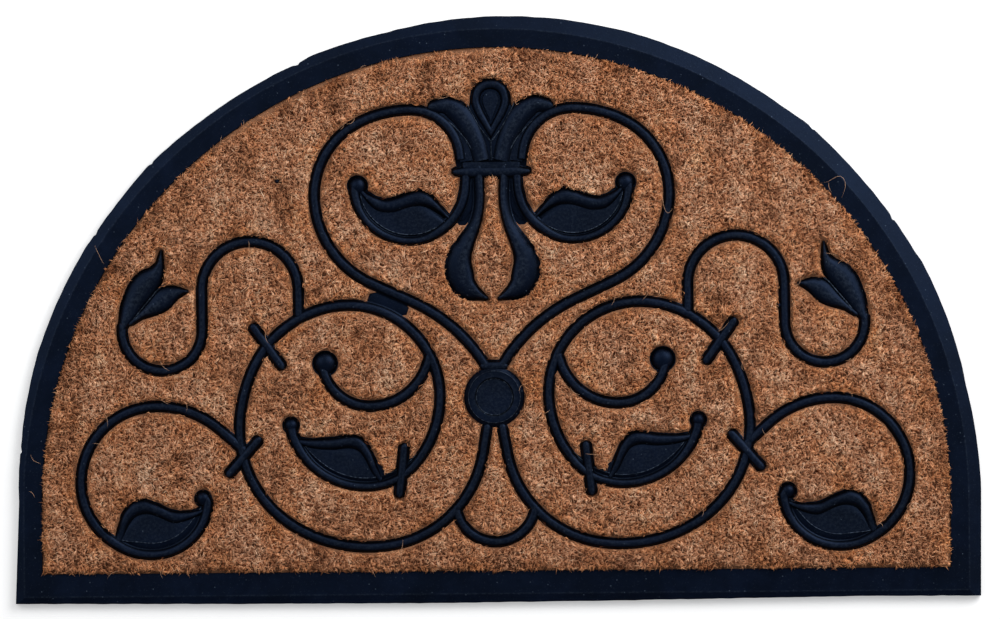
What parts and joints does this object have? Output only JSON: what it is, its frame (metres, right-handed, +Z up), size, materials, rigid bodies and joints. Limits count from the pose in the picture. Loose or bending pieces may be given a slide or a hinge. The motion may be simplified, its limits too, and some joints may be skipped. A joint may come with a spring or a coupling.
{
  "type": "half round coir doormat",
  "caption": "Half round doormat with coir pile set in a black rubber moulding that forms its backing, border and raised scrollwork.",
  "frame": {"origin": "middle of the underside, where the mat meets the floor", "axes": "+X along the straight base, +Y towards the arch, +Z up out of the pile"},
  "size_m": [0.7497, 0.4552, 0.012],
  "materials": {
    "rubber": "matte blue-black moulded rubber with a soft sheen",
    "coir": "dense brushed natural coconut fibre pile"
  },
  "bodies": {
    "root": {"rubber_moulding": "rubber", "coir_outer_field": "coir", "coir_heart_field": "coir", "coir_left_wheel": "coir", "coir_drop_field": "coir"}
  },
  "joints": []
}
